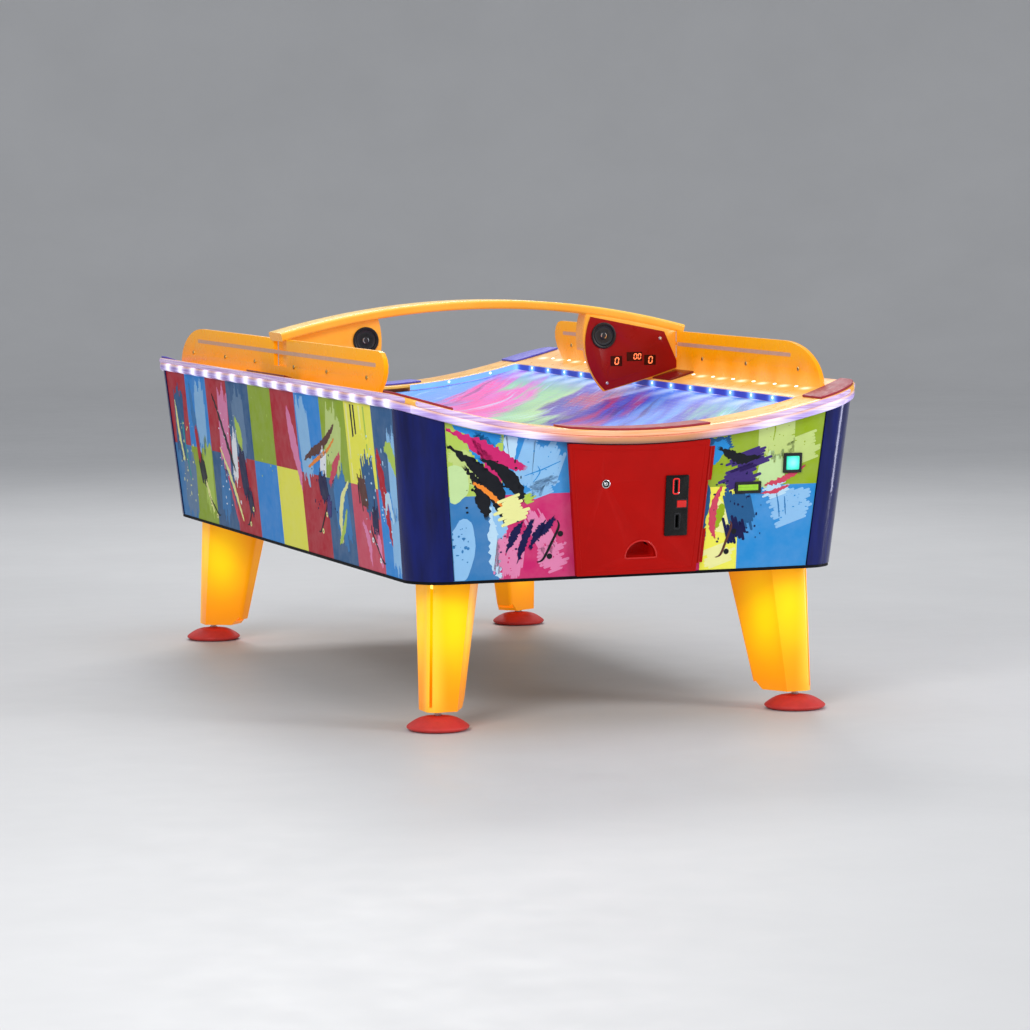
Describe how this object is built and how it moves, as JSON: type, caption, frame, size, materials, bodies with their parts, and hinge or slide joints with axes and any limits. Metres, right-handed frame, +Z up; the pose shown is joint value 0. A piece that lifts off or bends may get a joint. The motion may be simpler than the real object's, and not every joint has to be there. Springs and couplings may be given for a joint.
{
  "type": "air hockey table",
  "caption": "Coin-operated air hockey table with a playfield concave across its width, lit rails, side guards, a score arch and four lit legs.",
  "frame": {"origin": "on the floor under the table's centre", "axes": "+X across the width, to the right seen from the coin-door end; +Y along the length, away from the coin door; +Z up"},
  "size_m": [1.308, 2.418, 1.0771],
  "materials": {
    "plywood": "sealed",
    "black_trim": "satin",
    "print_side": "laminated colour print",
    "print_end": "laminated colour print",
    "navy_profile": "gloss",
    "light_band": "translucent, lit",
    "rail_yellow": "gloss",
    "led_strip": "lit",
    "playfield": "polished laminate",
    "black_metal": "powder coat",
    "leg_yellow": "translucent, lit",
    "zinc_steel": "zinc plated",
    "lamp": "lit",
    "pad_red": "satin",
    "pad_blue": "satin",
    "plate_red": "gloss",
    "arch_yellow": "gloss",
    "guard_amber": "translucent",
    "panel_red": "gloss",
    "panel_blue": "gloss",
    "stainless": "machined",
    "digits": "smoked",
    "speaker_black": "matte",
    "door_red": "powder coat",
    "chrome": "polished",
    "black_plastic": "satin",
    "button_red": "gloss",
    "cup_red": "gloss",
    "button_teal": "lit",
    "lcd": "lit",
    "rocker_red": "gloss",
    "rotor_grey": "matte",
    "foot_red": "satin"
  },
  "bodies": {
    "table": {"arch": "arch_yellow", "base_board": "plywood", "bearers": "plywood", "blower_housings": "zinc_steel", "bottom_trim": "black_trim", "coin_box": "black_metal", "control_box": "zinc_steel", "corner_profiles": "navy_profile", "display_panel_far": "panel_blue", "display_panel_near": "panel_red", "door_hinge": "zinc_steel", "end_panel_far": "print_end", "end_panel_near": "print_end", "field_led_strip": "led_strip", "field_ribs": "plywood", "goal_boxes": "black_metal", "guard_left": "guard_amber", "guard_right": "guard_amber", "lcd_display": "lcd", "leg_far_left": "leg_yellow", "leg_far_right": "leg_yellow", "leg_hardware": "zinc_steel", "leg_lamps": "lamp", "leg_near_left": "leg_yellow", "leg_near_right": "leg_yellow", "light_band": "light_band", "mains_inlet": "black_plastic", "playfield": "playfield", "plenum_box": "plywood", "power_supply": "zinc_steel", "puck_cup_far": "cup_red", "rail_cap": "rail_yellow", "rail_pads_far": "pad_blue", "rail_pads_near": "pad_red", "score_displays": "digits", "screws": "stainless", "side_panel_left": "print_side", "side_panel_right": "print_side", "speakers": "speaker_black", "start_bezel": "black_plastic", "tower_bases": "plate_red", "tower_left": "arch_yellow", "tower_right": "arch_yellow"},
    "coin_door": {"coin_door": "door_red", "coin_mech": "black_plastic", "puck_cup_near": "cup_red"},
    "door_lock": {"door_lock": "chrome"},
    "reject_button": {"reject_button": "button_red"},
    "start_button": {"start_button": "button_teal"},
    "rocker_switch": {"rocker_switch": "rocker_red"},
    "blower_rotor_near": {"blower_rotor_near": "rotor_grey"},
    "blower_rotor_far": {"blower_rotor_far": "rotor_grey"},
    "foot_near_left": {"foot_pad_near_left": "foot_red", "foot_stem_near_left": "zinc_steel"},
    "foot_near_right": {"foot_pad_near_right": "foot_red", "foot_stem_near_right": "zinc_steel"},
    "foot_far_left": {"foot_pad_far_left": "foot_red", "foot_stem_far_left": "zinc_steel"},
    "foot_far_right": {"foot_pad_far_right": "foot_red", "foot_stem_far_right": "zinc_steel"}
  },
  "joints": [
    {"name": "coin_door_hinge", "type": "hinge", "parent": "table", "child": "coin_door", "pos_m": [0.177, -1.15265, 0.39629], "axis": [0.0771, -0.1075, 0.9912], "range_deg": [0, 105]},
    {"name": "lock_turn", "type": "hinge", "parent": "coin_door", "child": "door_lock", "pos_m": [-0.092, -1.1721, 0.637], "axis": [0, -0.9942, -0.1078], "range_deg": [-90, 0]},
    {"name": "reject_press", "type": "slide", "parent": "coin_door", "child": "reject_button", "axis": [0, 0.9942, 0.1078], "range_m": [0, 0.004], "stiffness_N_per_m": 300, "springref_m": -0.001},
    {"name": "start_press", "type": "slide", "parent": "table", "child": "start_button", "axis": [0, 0.9942, 0.1078], "range_m": [0, 0.003], "stiffness_N_per_m": 400, "springref_m": -0.001},
    {"name": "power_rocker", "type": "hinge", "parent": "table", "child": "rocker_switch", "pos_m": [0.33, 1.15178, 0.46811], "axis": [-1, 0, 0], "range_deg": [-20, 0]},
    {"name": "blower_spin_near", "type": "hinge", "parent": "table", "child": "blower_rotor_near", "pos_m": [0, -0.42, 0.495], "axis": [0, 0, 1], "continuous": true},
    {"name": "blower_spin_far", "type": "hinge", "parent": "table", "child": "blower_rotor_far", "pos_m": [0, 0.42, 0.495], "axis": [0, 0, 1], "continuous": true},
    {"name": "level_near_left", "type": "slide", "parent": "table", "child": "foot_near_left", "axis": [0, 0, -1], "range_m": [0, 0.025]},
    {"name": "level_near_right", "type": "slide", "parent": "table", "child": "foot_near_right", "axis": [0, 0, -1], "range_m": [0, 0.025]},
    {"name": "level_far_left", "type": "slide", "parent": "table", "child": "foot_far_left", "axis": [0, 0, -1], "range_m": [0, 0.025]},
    {"name": "level_far_right", "type": "slide", "parent": "table", "child": "foot_far_right", "axis": [0, 0, -1], "range_m": [0, 0.025]}
  ]
}
